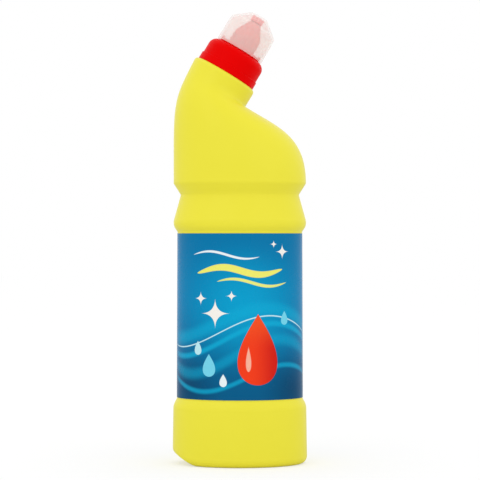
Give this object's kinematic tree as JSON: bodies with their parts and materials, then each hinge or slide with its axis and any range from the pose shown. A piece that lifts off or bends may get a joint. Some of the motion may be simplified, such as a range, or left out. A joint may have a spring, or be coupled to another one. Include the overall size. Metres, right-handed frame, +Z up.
{
  "type": "toilet bleach bottle with bent neck",
  "caption": "Tall oval squeeze bottle with a bent neck, a pressed-on nozzle base, a see-through twist-off cap and a wrap-around label.",
  "frame": {"origin": "centre of the base, on the surface that the bottle stands on", "axes": "+Z up, +X the way the neck leans, -Y the front"},
  "size_m": [0.0822, 0.0658, 0.2758],
  "materials": {
    "bottle_plastic": "semi-gloss blow-moulded polyethylene",
    "label_film": "glossy printed film",
    "contents": "thick clear liquid",
    "closure_plastic": "glossy moulded polypropylene",
    "cap_plastic": "translucent natural polypropylene",
    "seal_plastic": "soft moulded polyethylene"
  },
  "bodies": {
    "bottle": {"bottle_shell": "bottle_plastic", "label": "label_film", "liquid_bleach": "contents", "nozzle_collar": "closure_plastic"},
    "cap_seal": {"seal_plug": "seal_plastic"},
    "cap": {"overcap": "cap_plastic"}
  },
  "joints": [
    {"name": "cap_lift", "type": "slide", "parent": "bottle", "child": "cap_seal", "axis": [0.515, 0, 0.8572], "range_m": [0, 0.024]},
    {"name": "cap_turn", "type": "hinge", "parent": "cap_seal", "child": "cap", "pos_m": [-0.0034, 0, 0.2472], "axis": [0.515, 0, 0.8572], "range_deg": [0, 720]}
  ],
  "couplings": [
    {"joint": "cap_lift", "follows": "cap_turn", "m_per_rad": 0.0019099}
  ]
}
